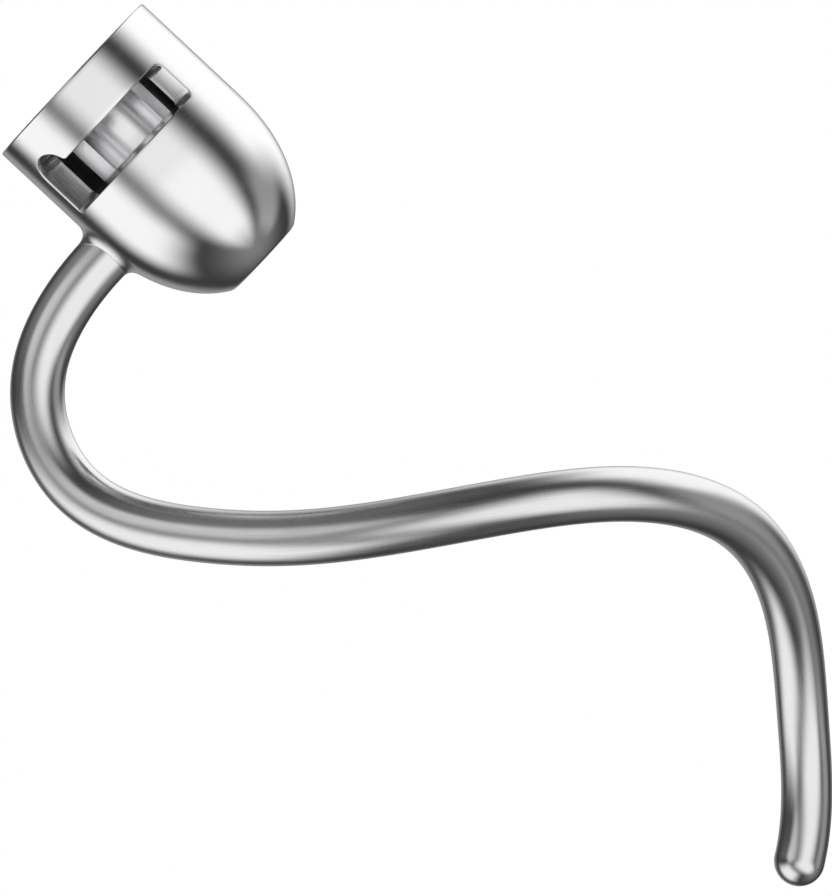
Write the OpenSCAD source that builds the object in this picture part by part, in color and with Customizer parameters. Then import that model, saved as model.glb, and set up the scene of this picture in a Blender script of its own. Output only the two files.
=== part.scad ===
// Spiral dough hook for a stand mixer.
// A cup-shaped hub takes the mixer's shaft from above (+Z). A round bar leaves the side of the
// hub (-X) and winds down round the shaft's axis in nearly one turn, left-handed.
// The origin is the centre of the bore's mouth, level with the rim. Front is -Y.

/* [Hub] */
// Outer diameter of the hub's straight collar
hub_d = 36; // [34:0.5:46]
// Overall height of the hub, from the rim to the flat end of the dome
hub_h = 46; // [44:0.5:60]
// Height of the straight collar, above the dome
collar_h = 22.8; // [20:0.2:26]
// Depth of the cup inside the hub
cup_depth = 31; // [30:0.5:38]
// Wall of the cup round the collar
cup_wall = 5; // [3:0.1:6]
// Diameter of the flat at the end of the dome
flat_d = 15; // [10:0.5:18]

/* [Shaft and pin] */
// Bore for the mixer's shaft
bore_d = 13; // [10:0.1:14.5]
// Wall of the drive bushing's sleeve
sleeve_wall = 3.3; // [2:0.1:3.8]
// Thickness of the bushing's flange
flange_t = 4; // [3:0.1:4.5]
// Width of the way cut for the shaft's cross pin
pin_way_w = 6; // [5.7:0.1:6.6]
// How far the way for the pin reaches from the shaft's axis
pin_reach = 12.4; // [11.5:0.1:12.6]
// How much wider than its way the room for the pin's turn is, on each side
turn_room = 0.1; // [0.05:0.05:0.3]

/* [Bayonet window] */
// Depth of the window's top edge below the rim
window_top = 8.6; // [8:0.1:10]
// Height of the window at the hub's outside
window_h = 8.7; // [8:0.1:10]
// Turn of the pin from where it enters to where it locks
lock_turn = 82.8; // [60:0.1:100]
// Angle from the front to where the pin enters
entry_angle = 32; // [20:1:45]
// Radius of the notch that the pin rises into, at the hub's outside
notch_r = 3.7; // [3:0.1:3.8]
// How far the notch stands out past the window's end
notch_bulge = 0.15; // [0.1:0.05:0.3]
// Rise of the window's lower wall towards the inside
sill_rise = 1; // [0:0.1:1.5]

/* [Bar] */
// Diameter of the bar
bar_d = 9.6; // [8:0.1:11]
// Diameter of the bar where its round nose starts
nose_d = 9.1; // [7:0.1:11]
// Depth of the bar's root below the rim
root_depth = 25.5; // [25:0.1:26]
// Furthest reach of the bar's centre line from the shaft's axis
hook_reach = 52; // [43:0.5:64]
// Drop of the nose's centre below the bar's root
hook_drop = 164.5; // [136:0.5:200]
// Diameter of the tenon at the root
tenon_d = 7; // [5:0.1:7.4]

/* [Weld] */
// Width of the weld along the bar
weld_w = 3.6; // [2:0.1:5]
// Height of the weld up the hub's side, from the bar's surface
weld_h = 3; // [1.5:0.1:4]

/* [Fits] */
// Clearance of the bushing's flange in the cup
flange_gap = 0.05; // [0.02:0.01:0.1]
// Clearance of the tenon in its socket
tenon_gap = 0.05; // [0.02:0.01:0.1]
// Gap that the weld metal fills between the bar and the hub
weld_gap = 0.4; // [0.3:0.05:0.5]

/* [Hidden] */
$fn = 96;

hub_r = hub_d / 2;
cup_r = hub_r - cup_wall;
bore_r = bore_d / 2;
sleeve_r = bore_r + sleeve_wall;
bar_r = bar_d / 2;
nose_r = nose_d / 2;
tenon_r = tenon_d / 2;

// The dome's outline is a quarter of an ellipse, a little fuller than a true one, which is cut
// off where the flat starts: (r / hub_r) ^ 2 + (depth / oval_h) ^ dome_power = 1.
dome_h = hub_h - collar_h;
dome_power = 2.2;
dome_steps = 20;
flat_ratio = flat_d / hub_d;
oval_h = dome_h / pow(1 - flat_ratio * flat_ratio, 1 / dome_power);
dome_end = acos(flat_ratio);

// Angles are counted from the front (-Y) towards +X.
lock_angle = entry_angle - lock_turn;
window_half = asin((notch_r - notch_bulge) / hub_r);
window_start = lock_angle - window_half;
window_end = entry_angle + window_half;
window_bottom = window_top + window_h;
notch_top = window_top - notch_r;
sleeve_cut_bottom = window_bottom + 0.3;

// The bar's centre line is a uniform cubic B-spline. Its points are [x, y, z], with z from the
// root's level. The first three lie off the hub's side, so they follow the hub's radius, and the
// rest wind round the axis. The first and the last point only steer the ends.
root_points = [[22 - hub_r, 0, -4.5], [4 - hub_r, 0, 1.5], [-26 - hub_r, 0, -1.5]];
spiral_points = [
    [-56, -3.5, -25.5],
    [-42, -17.5, -46.5],
    [-27, -27.5, -61.5],
    [-5, -32.5, -77],
    [14, -29.5, -92],
    [25, -11.5, -111],
    [20.5, 4.5, -130],
    [5.5, 17, -147.5],
    [-11.5, 17.5, -166.5],
    [-39.5, 10, -172.5]
];
plain_points = concat(root_points, spiral_points);
spans = len(plain_points) - 3;

// A cubic B-spline's point and its direction at t, where t counts the spans from 0.
function span_of(t) = min(floor(t), spans - 1);
function weights(f) = [
    pow(1 - f, 3),
    3 * pow(f, 3) - 6 * f * f + 4,
    -3 * pow(f, 3) + 3 * f * f + 3 * f + 1,
    pow(f, 3)
] / 6;
function slopes(f) = [
    -pow(1 - f, 2),
    3 * f * f - 4 * f,
    -3 * f * f + 2 * f + 1,
    f * f
] / 2;
function blend(pts, i, w) = w[0] * pts[i] + w[1] * pts[i + 1] + w[2] * pts[i + 2] + w[3] * pts[i + 3];
function spline(pts, t) = blend(pts, span_of(t), weights(t - span_of(t)));
function heading(pts, t) =
    let (v = blend(pts, span_of(t), slopes(t - span_of(t)))) v / norm(v);

// The spiral's points are stretched to the stated reach and drop.
plain_reach = max([for (i = [0 : 60]) -spline(plain_points, i * 5 / 60)[0]]);
plain_drop = -spline(plain_points, spans)[2];
reach_k = hook_reach / plain_reach;
drop_k = hook_drop / plain_drop;
hook_points = [
    for (p = root_points) [p[0], p[1], p[2] - root_depth],
    for (p = spiral_points) [p[0] * reach_k, p[1] * reach_k, p[2] * drop_k - root_depth]
];

// The bar starts where its centre line comes out of the hub's side.
bar_start_x = -hub_r - weld_gap;
function start_t(low, high, n) =
    n == 0 ? (low + high) / 2 :
    let (mid = (low + high) / 2)
    spline(hook_points, mid)[0] > bar_start_x ? start_t(mid, high, n - 1) : start_t(low, mid, n - 1);
bar_t0 = start_t(0, 1, 30);
bar_rings = 84;
bar_sides = 28;
nose_rings = 6;

// The bar keeps its diameter for most of its length, and thins evenly over the last part.
taper_from = 0.62;
function bar_radius(u) = bar_r + (nose_r - bar_r) * max(0, (u - taper_from) / (1 - taper_from));

// Each ring stands square to the centre line, and its first point looks along a direction that
// is carried from ring to ring, so that the rings don't twist.
function flatten(v, d) = let (w = v - (v * d) * d) w / norm(w);
function carried(i, t0, step, side) =
    let (
        d = heading(hook_points, t0 + i * step),
        s = flatten(side, d)
    )
    i == bar_rings ? [s] : concat([s], carried(i + 1, t0, step, s));
function ring(c, d, s, r) =
    let (q = cross(d, s))
    [for (k = [0 : bar_sides - 1]) c + r * (cos(k * 360 / bar_sides) * s + sin(k * 360 / bar_sides) * q)];
function ring_faces(n) = [
    for (i = [0 : n - 2])
        for (k = [0 : bar_sides - 1])
            let (
                a = i * bar_sides + k,
                b = i * bar_sides + (k + 1) % bar_sides
            )
            each [[a, b, b + bar_sides], [a, b + bar_sides, a + bar_sides]]
];

module bar_sweep() {
    step = (spans - bar_t0) / bar_rings;
    sides = carried(0, bar_t0, step, [0, 0, 1]);
    tip_c = spline(hook_points, spans);
    tip_d = heading(hook_points, spans);
    body = [
        for (i = [0 : bar_rings])
            let (t = bar_t0 + i * step)
            ring(spline(hook_points, t), heading(hook_points, t), sides[i], bar_radius(i / bar_rings))
    ];
    nose = [
        for (i = [1 : nose_rings - 1])
            let (a = i * 90 / nose_rings)
            ring(tip_c + nose_r * sin(a) * tip_d, tip_d, sides[bar_rings], nose_r * cos(a))
    ];
    rings = concat(body, nose);
    points = concat([for (r = rings) each r], [tip_c + nose_r * tip_d]);
    last = (len(rings) - 1) * bar_sides;
    pole = len(points) - 1;
    caps = concat(
        [for (k = [1 : bar_sides - 2]) [0, k + 1, k]],
        [for (k = [0 : bar_sides - 1]) [last + k, last + (k + 1) % bar_sides, pole]]
    );
    // The faces are listed clockwise as seen from outside.
    polyhedron(points, [for (f = concat(ring_faces(len(rings)), caps)) [f[2], f[1], f[0]]], convexity = 8);
}

// A cutter for all that lies between two angles, two depths and two radii round the shaft's axis.
module sector(from, to, r_in, r_out, top, bottom, bottom_in) {
    rotate([0, 0, from - 90])
        rotate_extrude(angle = to - from)
            polygon([[r_in, -bottom_in], [r_out, -bottom], [r_out, -top], [r_in, -top]]);
}

// The room that the pin turns in: all that its way passes over from the entry to the lock.
module pin_turn(reach, top, bottom) {
    steps = 6;
    half = pin_way_w / 2 + turn_room;
    function out(a) = [sin(a), -cos(a)];
    function aside(a) = half * [cos(a), sin(a)];
    translate([0, 0, -bottom])
        linear_extrude(bottom - top)
            polygon(concat(
                [-aside(lock_angle), reach * out(lock_angle) - aside(lock_angle)],
                [for (i = [1 : steps - 1]) reach * out(lock_angle + lock_turn * i / steps)],
                [reach * out(entry_angle) + aside(entry_angle), aside(entry_angle)]
            ));
}

// A bar-shaped cutter that runs out from the axis at an angle.
module way(angle, r_out, width, top, bottom) {
    rotate([0, 0, angle - 90])
        translate([0, -width / 2, -bottom])
            cube([r_out, width, bottom - top]);
}

// A cone with its point on the shaft's axis, so that its sides run radially.
module radial_cone(angle, depth, r_out, r_at_hub) {
    translate([0, 0, -depth])
        rotate([0, 0, angle - 90])
            rotate([0, 90, 0])
                cylinder(h = r_out, r1 = 0.001, r2 = r_at_hub * r_out / hub_r);
}

module hub_outline() {
    polygon(concat(
        [[0, 0], [hub_r, 0]],
        [
            for (i = [0 : dome_steps])
                let (a = dome_end * i / dome_steps)
                [hub_r * cos(a), -collar_h - oval_h * pow(sin(a), 2 / dome_power)]
        ],
        [[0, -hub_h]]
    ));
}

module hub_solid() {
    rotate_extrude() hub_outline();
}

// The cup, with the bayonet window in its wall and the socket for the bar's tenon.
module hub_shell() {
    past = hub_r + 2;
    inner = cup_r - 1;
    // The sill slopes over the wall alone, and the cutter carries the slope past both faces.
    slope = sill_rise / cup_wall;
    color("silver")
        difference() {
            hub_solid();
            translate([0, 0, -cup_depth]) cylinder(h = cup_depth + 1, r = cup_r);
            sector(window_start, window_end, inner, past, window_top,
                window_bottom + slope * (past - hub_r), window_bottom - sill_rise - slope);
            radial_cone(lock_angle, window_top, past, notch_r);
            translate([0, 0, -root_depth])
                rotate([0, -90, 0])
                    cylinder(h = past, r = tenon_r + tenon_gap);
        }
}

// The flanged sleeve that the shaft goes into, cut away where the pin turns.
module drive_bushing() {
    past = sleeve_r + 1;
    color("lightgray")
        difference() {
            union() {
                translate([0, 0, -cup_depth]) cylinder(h = cup_depth, r = sleeve_r);
                translate([0, 0, -flange_t]) cylinder(h = flange_t, r = cup_r - flange_gap);
            }
            translate([0, 0, -cup_depth - 1]) cylinder(h = cup_depth + 2, r = bore_r);
            way(entry_angle, pin_reach, pin_way_w, -1, window_top + 1);
            way(lock_angle, past, pin_way_w, notch_top, window_top + 1);
            pin_turn(2 * past, window_top, sleeve_cut_bottom);
        }
}

// The bent bar, with its tenon reaching through the cup's wall.
module hook_rod() {
    tenon_end = cup_r + 0.2;
    tenon_root = hub_r + weld_gap + 0.6;
    color("gainsboro") {
        bar_sweep();
        translate([-tenon_end, 0, -root_depth])
            rotate([0, -90, 0])
                cylinder(h = tenon_root - tenon_end, r = tenon_r);
    }
}

// The dressed weld round the bar's root, hollowed like a fillet and seated on the hub's side.
module root_weld() {
    inner = bar_r + weld_gap / 2;
    arc_steps = 8;
    reach = 4;
    color("darkgray")
        difference() {
            translate([0, 0, -root_depth])
                rotate([0, -90, 0])
                    rotate_extrude()
                        polygon(concat(
                            [[inner, hub_r - reach], [inner, hub_r + weld_w]],
                            [
                                for (i = [0 : arc_steps])
                                    let (a = 90 * i / arc_steps)
                                    [
                                        inner + 0.3 + weld_h * (1 - cos(a)),
                                        hub_r + weld_w * (1 - sin(a))
                                    ]
                            ],
                            [[inner + 0.3 + weld_h, hub_r - reach]]
                        ));
            hub_solid();
        }
}

hub_shell();
drive_bushing();
hook_rod();
root_weld();
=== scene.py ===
# Spiral dough hook for a stand mixer: the finished look of the four pieces, in the CAD frame.
# The shaft's axis is Z, the rim of the hub is at the top, and the front is -Y.

import bmesh
import bpy
import numpy as np
from mathutils import Matrix, Vector


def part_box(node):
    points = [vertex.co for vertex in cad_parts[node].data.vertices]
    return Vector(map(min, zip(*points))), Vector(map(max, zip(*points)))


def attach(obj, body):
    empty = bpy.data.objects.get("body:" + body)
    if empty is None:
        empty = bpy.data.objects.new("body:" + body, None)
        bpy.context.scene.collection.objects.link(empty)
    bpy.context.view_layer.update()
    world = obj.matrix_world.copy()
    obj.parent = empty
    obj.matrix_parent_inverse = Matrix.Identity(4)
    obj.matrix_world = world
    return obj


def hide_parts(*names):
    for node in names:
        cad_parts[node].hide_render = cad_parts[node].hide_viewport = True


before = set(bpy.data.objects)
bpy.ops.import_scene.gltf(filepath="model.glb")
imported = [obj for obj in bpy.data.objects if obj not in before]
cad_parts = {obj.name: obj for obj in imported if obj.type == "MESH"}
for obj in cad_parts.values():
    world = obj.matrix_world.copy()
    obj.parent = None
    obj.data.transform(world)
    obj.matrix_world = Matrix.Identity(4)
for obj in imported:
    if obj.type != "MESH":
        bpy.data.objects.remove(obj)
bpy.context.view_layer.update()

# ---------------------------------------------------------------------------------------------
# Hub
# A deep cup turned from a stainless steel bar, bored from the top and polished bright. The
# bayonet window is milled through its wall, and every edge is broken with a small round.

mm = 0.001

hub_low, hub_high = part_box("hub_shell")
hub_r = hub_high.x / mm
hub_end_z = hub_low.z / mm
cup_wall = 5
cup_r = hub_r - cup_wall
cup_floor_z = -31
floor_round = 1
collar_end_z = -22.8
flat_r = 7.5
flat_edge = 1.7
dome_power = 2.2
dome_h = collar_end_z - hub_end_z
dome_oval = dome_h / (1 - (flat_r / hub_r) ** 2) ** (1 / dome_power)
side_share = 0.965
rim_round = 0.35

# The window, unrolled from the skin: s runs round the wall from the front, z runs up.
window_left = -19.5
window_right = 13.5
window_top_z = -8.9
window_bottom_z = -17.3
sill_rise = 0.8
left_round = 1
right_round = 1.2
top_round = 1.8
notch_r = 3.7
notch_s = window_left + notch_r
notch_z = window_top_z - 0.35
lip_round = 1
edge_round = 0.22
left_flare = 0.6
left_flare_from = 3.5
left_flare_over = 3
right_flare = 0.5
right_flare_from = 2
right_flare_over = 1.5
sill_zone = 0.5

# The skin round the window is one patch, from the window out to a frame of straight lines.
frame_left = window_left - 4
frame_right = window_right + 4
frame_top = -rim_round
frame_bottom = collar_end_z
across = 96
down = 40
behind = 150


def steps(start, end, count):
    """Even steps from start to end: start + (end - start) * i / count."""
    return start + (end - start) * np.linspace(0, 1, count + 1)


def edge_arc(centre, radius, start, end, count, side=1):
    """An arc of the window's edge, centre + radius * (cos a, sin a), with the direction that
    points from the opening into the steel beside each point. Its last point is left out."""
    a = np.radians(steps(start, end, count)[:-1])
    out = np.stack([np.cos(a), np.sin(a)], -1)
    return np.hstack([np.array(centre) + radius * out, side * out])


def edge_line(start, end, into_steel, count):
    """A straight edge of the window, start + (end - start) * t, with its last point left out."""
    t = steps(0, 1, count)[:-1, None]
    points = np.array(start) + (np.array(end, float) - start) * t
    return np.hstack([points, np.tile(into_steel, (count, 1))])


def window_edge():
    """The window's edge, once round from its lower left corner: (s, z) and the direction into
    the steel. The notch is a circle that a small lip round joins to the top edge. The counts
    of points add up to those of the frame, 2 * (across + down)."""
    low_left = (window_left + left_round, window_bottom_z + left_round)
    low_right = (window_right - right_round, window_bottom_z + right_round)
    high_right = (window_right - top_round, window_top_z - top_round)
    lip_z = window_top_z + lip_round
    rise = lip_z - notch_z
    lip_s = notch_s + np.sqrt((notch_r + lip_round) ** 2 - rise ** 2)
    lip_angle = np.degrees(np.arcsin(rise / (notch_r + lip_round)))
    parts = [
        edge_arc(low_left, left_round, 225, 270, 5),
        edge_line((low_left[0], window_bottom_z), (low_right[0], window_bottom_z), (0, -1), 86),
        edge_arc(low_right, right_round, 270, 315, 5),
        edge_arc(low_right, right_round, 315, 360, 5),
        edge_line((window_right, low_right[1]), (window_right, high_right[1]), (1, 0), 29),
        edge_arc(high_right, top_round, 0, 45, 6),
        edge_arc(high_right, top_round, 45, 90, 6),
        edge_line((high_right[0], window_top_z), (lip_s, window_top_z), (0, 1), 52),
        edge_arc((lip_s, lip_z), lip_round, -90, lip_angle - 180, 10, side=-1),
        edge_arc((notch_s, notch_z), notch_r, lip_angle, 135, 28),
        edge_arc((notch_s, notch_z), notch_r, 135, 180, 10),
        edge_line((window_left, notch_z), (window_left, low_left[1]), (-1, 0), 25),
        edge_arc(low_left, left_round, 180, 225, 5),
    ]
    return np.vstack(parts)


def window_frame():
    """The frame round the window as (s, z), with a point for each point of the window's edge."""
    s = steps(frame_left, frame_right, across)[:-1]
    z = steps(frame_bottom, frame_top, down)[:-1]
    sides = [
        np.stack([s, np.full(across, frame_bottom)], -1),
        np.stack([np.full(down, frame_right), z], -1),
        np.stack([frame_left + frame_right - s, np.full(across, frame_top)], -1),
        np.stack([np.full(down, frame_left), frame_bottom + frame_top - z], -1),
    ]
    return np.vstack(sides)


def in_wall(s, z, depth):
    """A point of the wall: the angle is s / hub_r, the radius is hub_r - depth."""
    angle = s / hub_r
    r = hub_r - depth
    return np.stack([r * np.sin(angle), -r * np.cos(angle), z + 0 * r], -1)


def cut_height(z, depth):
    """How high the window's cut runs at a depth, if it starts at z on the skin. The notch is a
    cone with its point on the axis, and the sill rises evenly through the wall."""
    from_top = z - window_top_z
    notch = window_top_z + from_top * (hub_r - depth) / hub_r
    window_h = window_top_z - window_bottom_z
    sill = window_top_z + from_top * (1 - depth / cup_wall * sill_rise / window_h)
    return np.where(from_top > 0, notch, sill)


def window_patch():
    """The skin, the window's walls and the cup's inside round the window, as one grid: columns
    follow the window's edge, and rows run frame, skin, round, wall, round, inside, frame. The
    end walls flare apart by flare * (depth / cup_wall)^2."""
    edge = window_edge()
    edge = np.vstack([edge, edge[:1]])
    outer = window_frame()
    outer = np.vstack([outer, outer[:1]])
    s, z, into_s, into_z = edge.T
    flare = right_flare * np.clip((s - window_right + right_flare_from) / right_flare_over, 0, 1)
    flare -= left_flare * np.clip((window_left + left_flare_from - s) / left_flare_over, 0, 1)
    rows = []

    def cut(offset, depth):
        """The window's edge at a depth, moved into the steel by an offset."""
        cut_s = s + offset * into_s + flare * (depth / cup_wall) ** 2
        return cut_s, cut_height(z + offset * into_z, depth)

    def skin(share, depth):
        """A row between the frame, at share 0, and the window's round, at share 1."""
        cut_s, cut_z = cut(edge_round, depth)
        return in_wall(outer[:, 0] + (cut_s - outer[:, 0]) * share,
                       outer[:, 1] + (cut_z - outer[:, 1]) * share, depth)

    turn = np.radians(steps(0, 90, 6))
    rows += [skin(share, 0) for share in steps(0, 1, 14)[:-1]]
    rows += [in_wall(*cut(edge_round * (1 - np.sin(a)), 0), edge_round * (1 - np.cos(a)))
             for a in turn]
    rows += [in_wall(*cut(0, depth), depth)
             for depth in steps(edge_round, cup_wall - edge_round, 12)[1:-1]]
    rows += [in_wall(*cut(edge_round * (1 - np.sin(a)), cup_wall), cup_wall - edge_round * (1 - np.cos(a)))
             for a in turn[::-1]]
    rows += [skin(share, cup_wall) for share in steps(1, 0, 10)[1:]]
    return np.stack(rows)


def turned(profile, s):
    """A profile (radius, z) carried round the axis past every s: one row for each profile point."""
    r, z = profile[:, None, 0], profile[:, None, 1]
    return in_wall(s[None, :], z + 0 * s[None, :], hub_r - r)


def quarter(centre, radius, start, end, count=6):
    """A quarter round of a profile: centre + radius * (cos a, sin a)."""
    a = np.radians(steps(start, end, count))
    return np.stack([centre[0] + radius * np.cos(a), centre[1] + radius * np.sin(a)], -1)


def rim_profile():
    """From the skin over the rim's two rounds to the cup's inside."""
    outside = quarter((hub_r - rim_round, -rim_round), rim_round, 0, 90)
    inside = quarter((cup_r + rim_round, -rim_round), rim_round, 90, 180)
    between = np.stack([steps(outside[-1, 0], inside[0, 0], 8)[1:-1], np.zeros(7)], -1)
    return np.vstack([outside, between, inside])


def dome_profile():
    """The dome's side is a fuller ellipse, (r / hub_r) ^ 2 + (depth / dome_oval) ^ power = 1,
    nearly down to the flat. A quadratic curve rounds the edge between the side and the flat."""
    side_end = side_share * np.arccos(flat_r / hub_r)
    a = steps(0, side_end, 60)
    side = np.stack([hub_r * np.cos(a), collar_end_z - dome_oval * np.sin(a) ** (2 / dome_power)], -1)
    flat_start = np.array([flat_r - flat_edge, hub_end_z])
    slope = side[-1] - side[-2]
    corner = side[-1] + slope * (hub_end_z - side[-1, 1]) / slope[1]
    t = steps(0, 1, 12)[1:, None]
    edge = (1 - t) ** 2 * side[-1] + 2 * t * (1 - t) * corner + t ** 2 * flat_start
    flat = np.stack([steps(flat_start[0], 0, 12)[1:], np.full(12, hub_end_z)], -1)
    return np.vstack([side, edge, flat])


def cup_profile():
    """The cup's inside below the window, its floor's round and the floor."""
    wall = np.stack([np.full(9, cup_r), steps(collar_end_z, cup_floor_z + floor_round, 8)], -1)
    foot = quarter((cup_r - floor_round, cup_floor_z + floor_round), floor_round, 0, -90)
    floor = np.stack([steps(cup_r - floor_round, 0, 10)[1:], np.full(10, cup_floor_z)], -1)
    return np.vstack([wall, foot[1:], floor])


def sewn(name, grids):
    """One closed mesh from grids of points in millimetres: four neighbours make a face, points
    that share a place become one, and the faces are turned outwards."""
    points, faces, start = [], [], 0
    for grid in grids:
        rows, columns = grid.shape[:2]
        at = start + np.arange(rows * columns).reshape(rows, columns)
        quads = np.stack([at[:-1, :-1], at[:-1, 1:], at[1:, 1:], at[1:, :-1]], -1)
        points.append(grid.reshape(-1, 3))
        faces.append(quads.reshape(-1, 4))
        start += rows * columns
    mesh = bpy.data.meshes.new(name)
    mesh.from_pydata((np.vstack(points) * mm).tolist(), [], np.vstack(faces).tolist())
    shell = bmesh.new()
    shell.from_mesh(mesh)
    bmesh.ops.remove_doubles(shell, verts=shell.verts, dist=2e-6)
    bmesh.ops.recalc_face_normals(shell, faces=shell.faces)
    shell.to_mesh(mesh)
    shell.free()
    mesh.polygons.foreach_set("use_smooth", np.ones(len(mesh.polygons), bool))
    mesh.update()
    piece = bpy.data.objects.new(name, mesh)
    bpy.context.scene.collection.objects.link(piece)
    return piece


def hub_grids():
    """The hub's skin and inside: the window's patch, the back of the wall, the rim, the dome
    and the cup's floor, all with the same columns."""
    back_s = steps(frame_right, frame_left + 2 * np.pi * hub_r, behind)
    all_s = np.concatenate([steps(frame_left, frame_right, across), back_s[1:]])
    heights = steps(frame_bottom, frame_top, down)
    outside = np.stack([np.full(down + 1, hub_r), heights], -1)
    inside = np.stack([np.full(down + 1, cup_r), heights], -1)
    return [
        window_patch(),
        turned(outside, back_s),
        turned(inside, back_s),
        turned(rim_profile(), all_s),
        turned(dome_profile(), all_s),
        turned(cup_profile(), all_s),
    ]


def add_node(tree, kind, inputs=(), **settings):
    """Adds a node to a tree, sets what it is told, and links or sets each of its inputs."""
    made = tree.nodes.new(kind)
    for key, value in settings.items():
        setattr(made, key, value)
    for key, value in dict(inputs).items():
        if isinstance(value, bpy.types.NodeSocket):
            tree.links.new(value, made.inputs[key])
        else:
            made.inputs[key].default_value = value
    return made


def steel_grey(grey):
    """A grey with a slight lean to blue, as bare steel has."""
    return (grey, grey, grey * 1.01, 1)


class Steel:
    """A bare steel finish as a node tree, with short names for the nodes that it uses."""

    def __init__(self, name, grey, roughness):
        self.material = bpy.data.materials.new(name)
        self.material.use_nodes = True
        self.tree = self.material.node_tree
        self.shader = self.tree.nodes["Principled BSDF"]
        self.shader.inputs["Metallic"].default_value = 1
        self.shader.inputs["Base Color"].default_value = steel_grey(grey)
        self.shader.inputs["Roughness"].default_value = roughness

    def node(self, kind, inputs=(), **settings):
        return add_node(self.tree, kind, inputs, **settings)

    def math(self, operation, a, b):
        return self.node("ShaderNodeMath", {0: a, 1: b}, operation=operation).outputs[0]

    def noise(self, vector, scale, detail=3.0, rough=0.5):
        inputs = {"Vector": vector, "Scale": scale, "Detail": detail, "Roughness": rough}
        return self.node("ShaderNodeTexNoise", inputs).outputs["Fac"]

    def spread(self, value, low, high, start=0.3, end=0.7):
        """Maps start..end of a pattern to low..high, and stops there."""
        inputs = {"Value": value, "From Min": start, "From Max": end, "To Min": low, "To Max": high}
        return self.node("ShaderNodeMapRange", inputs).outputs["Result"]

    def set_roughness(self, value):
        self.tree.links.new(value, self.shader.inputs["Roughness"])

    def set_bump(self, height, distance, strength):
        inputs = {"Height": height, "Distance": distance, "Strength": strength}
        bump = self.node("ShaderNodeBump", inputs)
        self.tree.links.new(bump.outputs["Normal"], self.shader.inputs["Normal"])

    def set_tone(self, value, dark, light):
        """Lets the base colour drift between two greys."""
        inputs = {"Factor": value, "A": steel_grey(dark), "B": steel_grey(light)}
        mix = self.node("ShaderNodeMix", inputs, data_type="RGBA")
        self.tree.links.new(mix.outputs["Result"], self.shader.inputs["Base Color"])


def turned_polish(name, grey, roughness, mark_depth=0.000004):
    """Polish on a turned piece. Its marks run round the axis: the pattern changes slowly with x
    and y, and quickly with z + radius, which falls all the way down the outside."""
    steel = Steel(name, grey, roughness)
    place = steel.node("ShaderNodeTexCoord").outputs["Object"]
    axes = steel.node("ShaderNodeSeparateXYZ", {0: place}).outputs
    flat = steel.node("ShaderNodeCombineXYZ", {0: axes["X"], 1: axes["Y"]}).outputs[0]
    radius = steel.node("ShaderNodeVectorMath", {0: flat}, operation="LENGTH").outputs["Value"]
    down_side = steel.math("ADD", axes["Z"], radius)
    fine = steel.math("MULTIPLY", down_side, 60.0)
    round_marks = steel.node("ShaderNodeCombineXYZ", {0: axes["X"], 1: axes["Y"], 2: fine}).outputs[0]
    marks = steel.noise(round_marks, 90.0, 4.0, 0.6)
    clouds = steel.noise(place, 70.0, 2.0)
    wear = steel.math("MULTIPLY", marks, clouds)
    steel.set_roughness(steel.spread(wear, roughness * 0.8, roughness * 1.35, 0.15, 0.4))
    steel.set_tone(clouds, grey * 0.97, grey * 1.02)
    steel.set_bump(marks, mark_depth, 0.25)
    return steel.material


def milled_finish(name, grey, roughness):
    """Walls and a bore as the cutter left them: satin, with fine marks that run up and down."""
    steel = Steel(name, grey, roughness)
    place = steel.node("ShaderNodeTexCoord").outputs["Object"]
    along = steel.node("ShaderNodeMapping", {"Vector": place, "Scale": (3, 3, 0.3)}).outputs[0]
    marks = steel.noise(along, 900.0, 3.0)
    steel.set_roughness(steel.spread(marks, roughness * 0.8, roughness * 1.2))
    steel.set_tone(marks, grey * 0.93, grey)
    steel.set_bump(marks, 0.0000015, 0.2)
    return steel.material


def mark_finishes_and_painted_shade(piece):
    """Gives the window's walls the milled finish, and the cup's inside the bored one, which is
    rougher and a darker grey as painted shade. The skin stays polished, and so does what isn't
    bored below sill_zone over the window's foot."""
    centres = np.zeros(len(piece.data.polygons) * 3)
    piece.data.polygons.foreach_get("center", centres)
    x, y, z = centres.reshape(-1, 3).T / mm
    r = np.hypot(x, y)
    bored = (r < cup_r + edge_round / 2) & (z > cup_floor_z - 1) & (z < -rim_round / 2)
    milled = ~bored & (r < hub_r - edge_round) & (z < -2 * rim_round)
    milled &= z > window_bottom_z + sill_zone
    piece.data.polygons.foreach_set("material_index", milled * 1 + bored * 2)


hub = sewn("hub", hub_grids())
hub.data.materials.append(turned_polish("hub_polish", 0.80, 0.15))
hub.data.materials.append(milled_finish("window_finish", 0.84, 0.24))
# The cup's inside is a rough bored finish in a darker grey than the skin: painted shade in the recess.
hub.data.materials.append(milled_finish("bored_finish_painted_shade", 0.62, 0.55))
mark_finishes_and_painted_shade(hub)
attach(hub, "root")
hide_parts("hub_shell")

# ---------------------------------------------------------------------------------------------
# Drive bushing
# A flanged sleeve of turned steel, pressed into the cup from the top. Its side is cut away
# behind the window, where the shaft's cross pin turns and locks.

bushing_low, bushing_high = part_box("drive_bushing")
bushing_end_z = bushing_low.z / mm
flange_r = bushing_high.x / mm
flange_t = 4
sleeve_r = 9.8
bore_r = 6.5
pin_way_w = 6
pin_reach = 12.4
entry_angle = 32
lock_angle = -50.8
turn_room = 0.1
pin_top_z = window_top_z
pin_lift_z = window_top_z + notch_r
pin_floor_z = window_bottom_z - 0.3
bushing_round = 0.15
sharp_angle = np.radians(30)
overlap = 1


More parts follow.
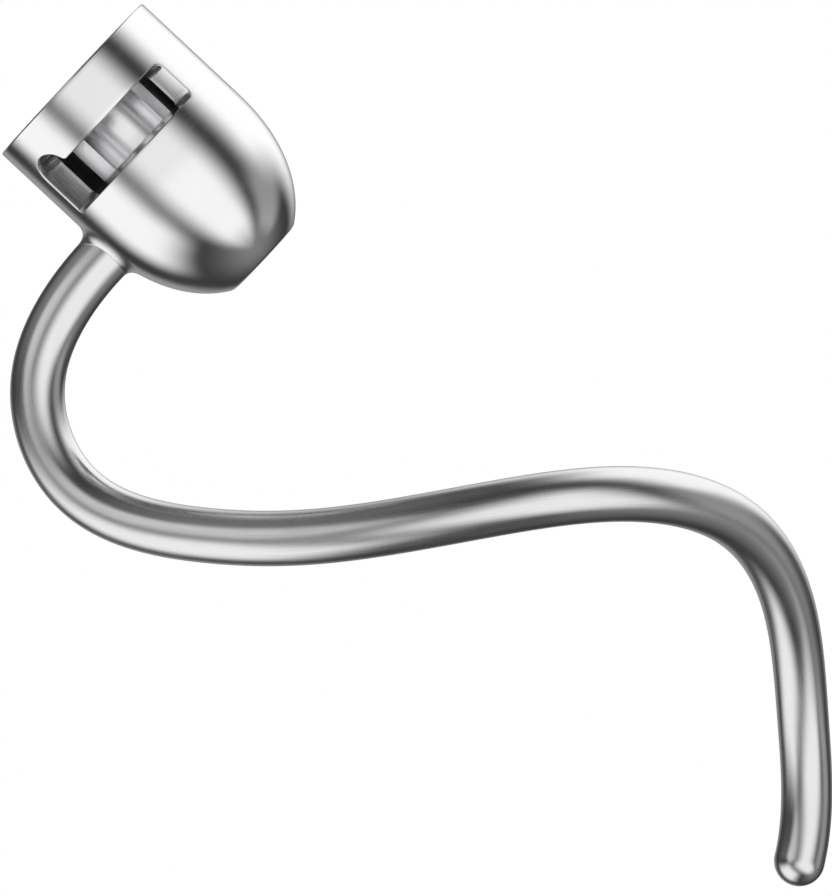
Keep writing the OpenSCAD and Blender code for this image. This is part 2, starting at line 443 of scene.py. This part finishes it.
def bushing_profile():
    """The sleeve's and the flange's section, as a closed line of (radius, z)."""
    mouth = quarter((bore_r + 0.5, -0.5), 0.5, 90, 180)
    brim = quarter((flange_r - 0.3, -0.3), 0.3, 0, 90)
    corners = [
        (bore_r, bushing_end_z),
        (sleeve_r, bushing_end_z),
        (sleeve_r, -flange_t),
        (flange_r, -flange_t),
    ]
    profile = np.vstack([corners, brim, mouth])
    return np.vstack([profile, profile[:1]])


def prism(name, outline, low, high):
    """A solid that stands on an outline of (x, y), from one height to another. Its sides are one
    strip of faces, and its two ends are fans round their middle."""
    outline = np.array(outline, float)
    ring = np.vstack([outline, outline[:1]])
    middle = np.tile(outline.mean(0), (len(ring), 1))
    flat = [middle, ring, ring, middle]
    heights = [low, low, high, high]
    grid = [np.hstack([xy, np.full((len(ring), 1), float(z))]) for xy, z in zip(flat, heights)]
    return sewn(name, [np.stack(grid)])


def outwards(angle):
    """The direction out from the axis at an angle from the front, and the one square to it."""
    a = np.radians(angle)
    return np.array([np.sin(a), -np.cos(a)]), np.array([np.cos(a), np.sin(a)])


def pin_way(name, angle, reach, low, high):
    """The straight way of the shaft's pin, from the axis out to its reach."""
    out, aside = outwards(angle)
    half = aside * pin_way_w / 2
    return prism(name, [-half, half, reach * out + half, reach * out - half], low, high)


def pin_turn(name, reach, low, high):
    """All that the pin's way passes over while it turns from the entry to the lock."""
    half = pin_way_w / 2 + turn_room
    between_ways = [reach * outwards(angle)[0] for angle in steps(lock_angle, entry_angle, 6)[1:-1]]
    lock_out, lock_aside = outwards(lock_angle)
    entry_out, entry_aside = outwards(entry_angle)
    outline = [-half * lock_aside, reach * lock_out - half * lock_aside, *between_ways,
               reach * entry_out + half * entry_aside, half * entry_aside]
    return prism(name, outline, low, high)


def cut_away(piece, cutters):
    """Takes the cutters' solids out of a piece, and then removes the cutters."""
    for cutter in cutters:
        cut = piece.modifiers.new("cut", "BOOLEAN")
        cut.object = cutter
        cut.solver = "EXACT"
    bpy.context.view_layer.update()
    evaluated = piece.evaluated_get(bpy.context.evaluated_depsgraph_get())
    result = bpy.data.meshes.new_from_object(evaluated)
    piece.modifiers.clear()
    piece.data = result
    for cutter in cutters:
        bpy.data.objects.remove(cutter)


all_round = steps(0, 2 * np.pi * hub_r, 240)
bushing = sewn("bushing", [turned(bushing_profile(), all_round)])
cut_away(bushing, [
    pin_way("entry_way", entry_angle, pin_reach, pin_top_z - overlap, overlap),
    pin_way("lock_way", lock_angle, sleeve_r + overlap, pin_top_z - overlap, pin_lift_z),
    pin_turn("turn_room", 2 * sleeve_r, pin_floor_z, pin_top_z),
])
bushing.data.set_sharp_from_angle(angle=sharp_angle)
bevel = bushing.modifiers.new("broken_edges", "BEVEL")
bevel.width = bushing_round * mm
bevel.segments = 3
bevel.limit_method = "ANGLE"
bevel.angle_limit = sharp_angle
bevel.harden_normals = True
# The bushing's steel is a much lighter grey than the hub's: painted light inside the cup, where it shows
# through the window.
bushing.data.materials.append(turned_polish("bushing_painted_light_finish", 0.96, 0.18, 0.0000004))
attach(bushing, "root")
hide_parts("drive_bushing")

# ---------------------------------------------------------------------------------------------
# Hook bar
# One round stainless bar, bent cold over formers into a spiral, thinned a little towards its
# nose, ground round at the tip and polished lengthwise on a belt.

bar_r = 4.79
nose_r = 4.54
taper_from = 0.62
root_z = -25.5

# The path's points are a curve fit's result, rounded to half a millimetre. The first one's z
# and the third one's y were then moved. The first three follow the hub's radius.
root_points = [(22 - hub_r, 0, -4.5), (4 - hub_r, 0, 1.5), (-26 - hub_r, 0, -1.5)]
spiral_points = [
    (-56, -3.5, -25.5),
    (-42, -17.5, -46.5),
    (-27, -27.5, -61.5),
    (-5, -32.5, -77),
    (14, -29.5, -92),
    (25, -11.5, -111),
    (20.5, 4.5, -130),
    (5.5, 17, -147.5),
    (-11.5, 17.5, -166.5),
    (-39.5, 10, -172.5),
]
bar_path = np.array(root_points + spiral_points, float) + (0, 0, root_z)
bar_rings = 620
bar_sides = 96
nose_rings = 20


def spline(points, t):
    """A uniform cubic B-spline and its direction at each t, where t counts the spans."""
    i = np.minimum(t.astype(int), len(points) - 4)
    f = (t - i)[:, None]
    p = [points[i + k] for k in range(4)]
    weights = [
        (1 - f) ** 3,
        3 * f ** 3 - 6 * f ** 2 + 4,
        -3 * f ** 3 + 3 * f ** 2 + 3 * f + 1,
        f ** 3,
    ]
    slopes = [-(1 - f) ** 2, 3 * f ** 2 - 4 * f, -3 * f ** 2 + 2 * f + 1, f ** 2]
    place = sum(w * q for w, q in zip(weights, p)) / 6
    heading = sum(w * q for w, q in zip(slopes, p)) / 2
    return place, heading / np.linalg.norm(heading, axis=1)[:, None]


def carried_side(heading, first):
    """A side direction for every ring: each is the last one, made square to the new heading."""
    sides = [first]
    for direction in heading:
        side = sides[-1] - sides[-1] @ direction * direction
        sides.append(side / np.linalg.norm(side))
    return np.array(sides[1:])


def bar_grid():
    """Rings of radius r(u) round the spline, then a round nose whose rings have radius
    nose_r * cos(a) and stand nose_r * sin(a) past the path's end. The second result is where
    each point lies on the straight bar, before it is bent."""
    last = float(len(bar_path) - 3)
    u = steps(0, 1, bar_rings)
    place, heading = spline(bar_path, u * last)
    side = carried_side(heading, np.array([0.0, 0.0, 1.0]))
    r = bar_r + (nose_r - bar_r) * np.clip((u - taper_from) / (1 - taper_from), 0, 1)
    length = np.concatenate([[0], np.cumsum(np.linalg.norm(np.diff(place, axis=0), axis=1))])
    a = np.radians(steps(0, 90, nose_rings)[1:])
    place = np.vstack([place[:1], place, place[-1] + nose_r * np.sin(a)[:, None] * heading[-1]])
    heading = np.vstack([heading[:1], heading, np.tile(heading[-1], (nose_rings, 1))])
    side = np.vstack([side[:1], side, np.tile(side[-1], (nose_rings, 1))])
    r = np.concatenate([[0], r, nose_r * np.cos(a)])
    length = np.concatenate([[0], length, length[-1] + nose_r * np.sin(a)])
    other = np.cross(heading, side)
    turn = np.linspace(0, 2 * np.pi, bar_sides + 1)
    ring = np.cos(turn)[:, None] * side[:, None] + np.sin(turn)[:, None] * other[:, None]
    points = place[:, None] + r[:, None, None] * ring
    straight = np.stack([
        length[:, None] + 0 * turn,
        r[:, None] * np.cos(turn),
        r[:, None] * np.sin(turn),
    ], -1)
    return points, straight


def remember_straight(piece, points, straight):
    """Stores on the mesh where each of its points lies on the straight bar, in millimetres."""
    places = {tuple(p): q for p, q in zip((points.reshape(-1, 3) * mm).astype(np.float32).tolist(),
                                          straight.reshape(-1, 3).tolist())}
    found = np.array([places[tuple(v.co)] for v in piece.data.vertices], np.float32)
    store = piece.data.attributes.new("straight_bar", "FLOAT_VECTOR", "POINT")
    store.data.foreach_set("vector", found.ravel())


def drawn_polish(name, grey, roughness):
    """Belt polish on a drawn bar. Its marks run along the straight bar, so the pattern is
    stretched along it, and the bending leaves slow changes of sheen."""
    steel = Steel(name, grey, roughness)
    place = steel.node("ShaderNodeAttribute", {}, attribute_name="straight_bar").outputs["Vector"]
    mapping = steel.node("ShaderNodeMapping", {"Vector": place, "Scale": (0.05, 1.6, 1.6)}).outputs[0]
    marks = steel.noise(mapping, 2.6, 4.0, 0.6)
    slow = steel.node("ShaderNodeMapping", {"Vector": place, "Scale": (0.35, 1, 1)}).outputs[0]
    clouds = steel.noise(slow, 0.16, 2.0)
    wear = steel.math("MULTIPLY", marks, clouds)
    steel.set_roughness(steel.spread(wear, roughness * 0.8, roughness * 1.3, 0.15, 0.4))
    steel.set_tone(clouds, grey * 0.96, grey * 1.02)
    steel.set_bump(marks, 0.000006, 0.3)
    return steel.material


bar_points, bar_straight = bar_grid()
bar = sewn("hook_bar", [bar_points])
remember_straight(bar, bar_points, bar_straight)
bar.data.materials.append(drawn_polish("bar_polish", 0.74, 0.24))

# The bar is left out of the steel's reflections, so none of it shows on the hub.
bar.visible_glossy = False
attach(bar, "root")
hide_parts("hook_rod")

# ---------------------------------------------------------------------------------------------
# Root weld
# The bar is welded into the hub's side, and the bead is ground back to a hollow blend. It
# fades out on the hub's skin, and ends at the bar with a fine groove.

weld_sides = 160
weld_z = root_z + 0.1
bead_height = 0.85
bead_reach = 3.3
lip = 0.2
groove = 0.32


def hub_side_x(y, z):
    """Where the hub's skin lies at y and z, on the -X side."""
    depth = np.clip(collar_end_z - z, 0, dome_h)
    r = hub_r * np.sqrt(1 - (depth / dome_oval) ** dome_power)
    return -np.sqrt(r ** 2 - y ** 2)


def weld_grid():
    """A closed ring round the bar's root. At the angle a round the bar, the bead climbs the bar
    by a height and runs out over the hub's skin by a reach, which both change with a. Its hollow
    is a quadratic curve that meets the skin without an edge. A groove parts its lip from the
    bar on the sides, and fades out above and below."""
    a = np.linspace(0, 2 * np.pi, weld_sides + 1)
    side, up = -np.cos(a), np.sin(a)
    above, below = np.clip(up, 0, 1) ** 3, np.clip(-up, 0, 1) ** 3
    sides = 1 - above - below
    height = bead_height + 1.6 * above + 0.6 * below
    reach = bead_reach - 0.9 * above - 1.0 * below
    crest = 0.02 + lip * sides
    dip = 0.02 + groove * sides

    def at(out, lift):
        """A point beyond the bar's surface by out, and above the hub's skin by lift."""
        y, z = -(bar_r + out) * side, weld_z + (bar_r + out) * up
        return np.stack([hub_side_x(y, z) - lift, y, z], -1)

    top = at(crest, height)
    corner = at(crest + (0.05 + 0.27 * sides) * reach, 0 * height)
    foot = at(reach, 0 * height)
    t = steps(0, 1, 28)[:, None, None]
    hollow = (1 - t) ** 2 * top + 2 * t * (1 - t) * corner + t ** 2 * foot
    turn = np.radians(steps(0, 90, 4)[:-1])
    round_lip = [at(crest - (crest + 0.1) * np.cos(b), height - dip * (1 - np.sin(b))) for b in turn]
    under = [at(reach + out, 0 * a - sunk) for out, sunk in [(0.2, 0.01), (0.4, 0.04), (0, 1.2)]]
    inner = at(-0.4, -0.3 + 0 * a)
    return np.stack([inner, *round_lip, *hollow, *under, at(-0.4, -1.2 + 0 * a), inner])


weld = sewn("root_weld_blend", [weld_grid()])
weld.data.materials.append(turned_polish("weld_polish", 0.8, 0.26))
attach(weld, "root")
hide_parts("root_weld")

# ---------------------------------------------------------------------------------------------
# Floor, light and camera
# The hook hangs over a plain pale floor, inside a plain tent of soft light. The tent's walls are
# light and dark panels round the hook, which is what makes bands on polished steel.

floor_z = -250
floor_r = 280
floor_rings = 6
floor_sides = 96


def floor_disc():
    """A flat disc: rings of radius floor_r * i / floor_rings round the axis."""
    turn = steps(0, 2 * np.pi, floor_sides)
    r = steps(0, floor_r, floor_rings)[:, None]
    return np.stack([r * np.sin(turn), -r * np.cos(turn), floor_z + 0 * r * turn], -1)


floor = sewn("floor", [floor_disc()])

# The floor is left out of the steel's reflections too.
floor.visible_glossy = False
pale = bpy.data.materials.new("pale_floor")
pale.use_nodes = True
pale.node_tree.nodes["Principled BSDF"].inputs["Base Color"].default_value = (0.9, 0.9, 0.9, 1)
pale.node_tree.nodes["Principled BSDF"].inputs["Roughness"].default_value = 0.7
floor.data.materials.append(pale)

# The tent's soft panels: degrees from the front towards +X, degrees up, half the width, half
# the height, brightness. Between them the tent is dark grey, and lighter at its two ends.
soft_panels = [
    (5, -30, 35, 42, 1.1),
    (-80, 0, 30, 30, 1.1),
    (120, 5, 40, 30, 1.2),
    (-160, 0, 18, 25, 0.3),
    (-20, 50, 25, 20, 0.7),
    (90, -50, 25, 20, 0.3),
]
dark_grey = 0.05
end_grey = 0.25
end_from = 40

world = bpy.data.worlds.new("light_tent")
bpy.context.scene.world = world
world.use_nodes = True
tent = world.node_tree
tent.nodes.clear()


def tent_math(operation, *values):
    return add_node(tent, "ShaderNodeMath", dict(enumerate(values)), operation=operation).outputs[0]


def between(value, start, end):
    """Eases from 0 at the start to 1 at the end, by 3 t^2 - 2 t^3."""
    inputs = {"Value": value, "From Min": start, "From Max": end}
    eased = add_node(tent, "ShaderNodeMapRange", inputs, interpolation_type="SMOOTHSTEP")
    return eased.outputs["Result"]


def soft_edge(offset, half):
    """1 near a panel's middle. It eases to 0 from a half to one and a half of the half width."""
    return between(tent_math("ABSOLUTE", offset), 1.5 * half, 0.5 * half)


direction = add_node(tent, "ShaderNodeTexCoord").outputs["Generated"]
axes = add_node(tent, "ShaderNodeSeparateXYZ", {0: direction}).outputs
front_way = tent_math("MULTIPLY", axes["Y"], -1.0)
azimuth = tent_math("DEGREES", tent_math("ARCTAN2", axes["X"], front_way))
height = tent_math("DEGREES", tent_math("ARCSINE", axes["Z"]))
ends = between(tent_math("ABSOLUTE", height), end_from, 90)
walls = tent_math("ADD", tent_math("MULTIPLY", ends, end_grey - dark_grey), dark_grey)
for panel_turn, panel_height, half_width, half_height, brightness in soft_panels:
    across_panel = tent_math("WRAP", tent_math("SUBTRACT", azimuth, panel_turn), 180.0, -180.0)
    up_panel = tent_math("SUBTRACT", height, panel_height)
    inside = tent_math("MULTIPLY", soft_edge(across_panel, half_width), soft_edge(up_panel, half_height))
    walls = tent_math("ADD", walls, tent_math("MULTIPLY", inside, brightness))

# Seen directly, the tent is plain white. The panels light the hook and show in its steel.
seen = add_node(tent, "ShaderNodeLightPath").outputs["Is Camera Ray"]
inputs = {"Factor": seen, "A": walls, "B": (1, 1, 1, 1)}
colour = add_node(tent, "ShaderNodeMix", inputs, data_type="RGBA").outputs["Result"]
background = add_node(tent, "ShaderNodeBackground", {"Color": colour})
add_node(tent, "ShaderNodeOutputWorld", {"Surface": background.outputs[0]})

bpy.context.scene.view_settings.view_transform = "Standard"

# A wide soft lamp overhead lights the floor. It's left out of the steel's reflections.
lamp_data = bpy.data.lights.new("overhead_lamp", "SUN")
lamp_data.energy = 1.75
lamp_data.angle = np.radians(35)
lamp = bpy.data.objects.new("overhead_lamp", lamp_data)
lamp.rotation_euler = (np.radians(20), np.radians(-12), 0)
lamp.visible_glossy = False
bpy.context.scene.collection.objects.link(lamp)

# The camera stands level with the hub, and is rolled so that the hook runs down to the right.
camera_place = Vector((0, -1200, -17.5)) * mm
camera_target = Vector((-6.1, 0, -88.2)) * mm
camera_roll = np.radians(46.95)
picture_height = 157.34 * mm

camera_data = bpy.data.cameras.new("camera")
camera = bpy.data.objects.new("camera", camera_data)
bpy.context.scene.collection.objects.link(camera)
forward = (camera_target - camera_place).normalized()
level = forward.cross(Vector((0, 0, 1))).normalized()
upright = level.cross(forward)
right = level * np.cos(camera_roll) - upright * np.sin(camera_roll)
up = level * np.sin(camera_roll) + upright * np.cos(camera_roll)
camera_axes = Matrix((right, up, -forward)).transposed().to_4x4()
camera.matrix_world = Matrix.Translation(camera_place) @ camera_axes
camera_data.sensor_width = 36
camera_data.lens = camera_data.sensor_width * (camera_target - camera_place).length / picture_height
camera_data.clip_start = 0.1
camera_data.clip_end = 10
bpy.context.scene.camera = camera
